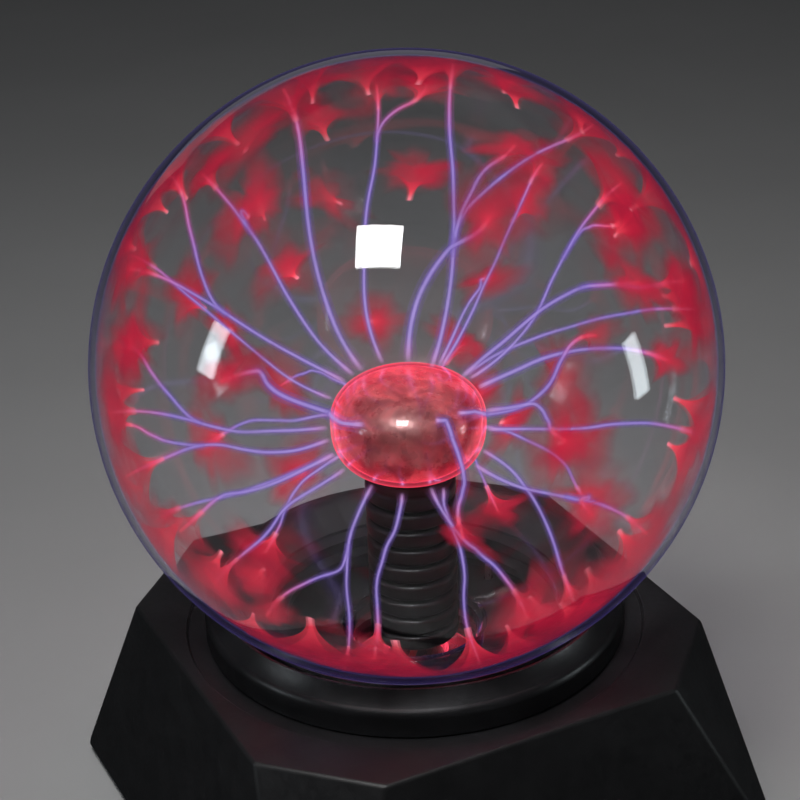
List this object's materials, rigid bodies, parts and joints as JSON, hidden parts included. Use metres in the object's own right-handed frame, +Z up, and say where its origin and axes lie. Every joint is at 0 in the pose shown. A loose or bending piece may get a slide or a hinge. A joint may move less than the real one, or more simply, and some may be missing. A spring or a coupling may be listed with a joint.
{
  "type": "plasma ball",
  "caption": "Desk plasma ball: sealed glass globe with a ribbed electrode stem, on a faceted black base with power inlet, microphone and slide switch.",
  "frame": {"origin": "centre of the plane the feet rest on, under the globe's centre", "axes": "+Z up, +Y towards the back face with the power inlet, the mode switch and the microphone, +X to the right seen from the front"},
  "size_m": [0.2026, 0.2026, 0.2775],
  "materials": {
    "clear_glass": "clear, polished",
    "electrode_metal": "thin mirror film on the inside of the bulb",
    "black_plastic": "moulded, fine spark texture",
    "black_rubber": "smooth",
    "screw_steel": "zinc plated",
    "contact_metal": "nickel plated",
    "board_laminate": "solder mask",
    "ferrite": "sintered, matt",
    "potting_resin": "cast epoxy",
    "copper_wire": "enamelled",
    "chip_body": "moulded",
    "heat_sink_aluminium": "extruded",
    "capacitor_sleeve": "shrink sleeve",
    "wire_insulation": "silicone",
    "discharge_violet": "glowing gas filament",
    "discharge_red": "glowing gas at the glass"
  },
  "bodies": {
    "housing": {"globe_glass": "clear_glass", "electrode_glass": "clear_glass", "electrode_lining": "electrode_metal", "stem_sleeve": "black_rubber", "exhaust_stub": "clear_glass", "globe_collar": "black_plastic", "globe_gasket": "black_rubber", "collar_screw_1": "screw_steel", "collar_screw_2": "screw_steel", "collar_screw_3": "screw_steel", "globe_clamp": "black_plastic", "clamp_screw_1": "screw_steel", "clamp_screw_2": "screw_steel", "clamp_screw_3": "screw_steel", "base_shell": "black_plastic", "bottom_cover": "black_plastic", "rubber_foot_1": "black_rubber", "rubber_foot_2": "black_rubber", "rubber_foot_3": "black_rubber", "rubber_foot_4": "black_rubber", "cover_screw_1": "screw_steel", "cover_screw_2": "screw_steel", "cover_screw_3": "screw_steel", "cover_screw_4": "screw_steel", "circuit_board": "board_laminate", "board_screw_1": "screw_steel", "board_screw_2": "screw_steel", "board_screw_3": "screw_steel", "board_screw_4": "screw_steel", "flyback_core": "ferrite", "flyback_coil": "potting_resin", "primary_winding": "copper_wire", "high_voltage_lead": "wire_insulation", "power_transistor": "chip_body", "heat_sink": "heat_sink_aluminium", "filter_capacitor_1": "capacitor_sleeve", "filter_capacitor_2": "capacitor_sleeve", "timer_chip": "chip_body", "audio_chip": "chip_body", "dc_jack_housing": "black_plastic", "dc_jack_pin": "contact_metal", "mode_switch_housing": "contact_metal", "microphone_capsule": "contact_metal"},
    "switch_slider": {"mode_switch_slider": "black_plastic"}
  },
  "joints": [
    {"name": "mode_switch_slide", "type": "slide", "parent": "housing", "child": "switch_slider", "axis": [1, 0, 0], "range_m": [0, 0.008]}
  ]
}
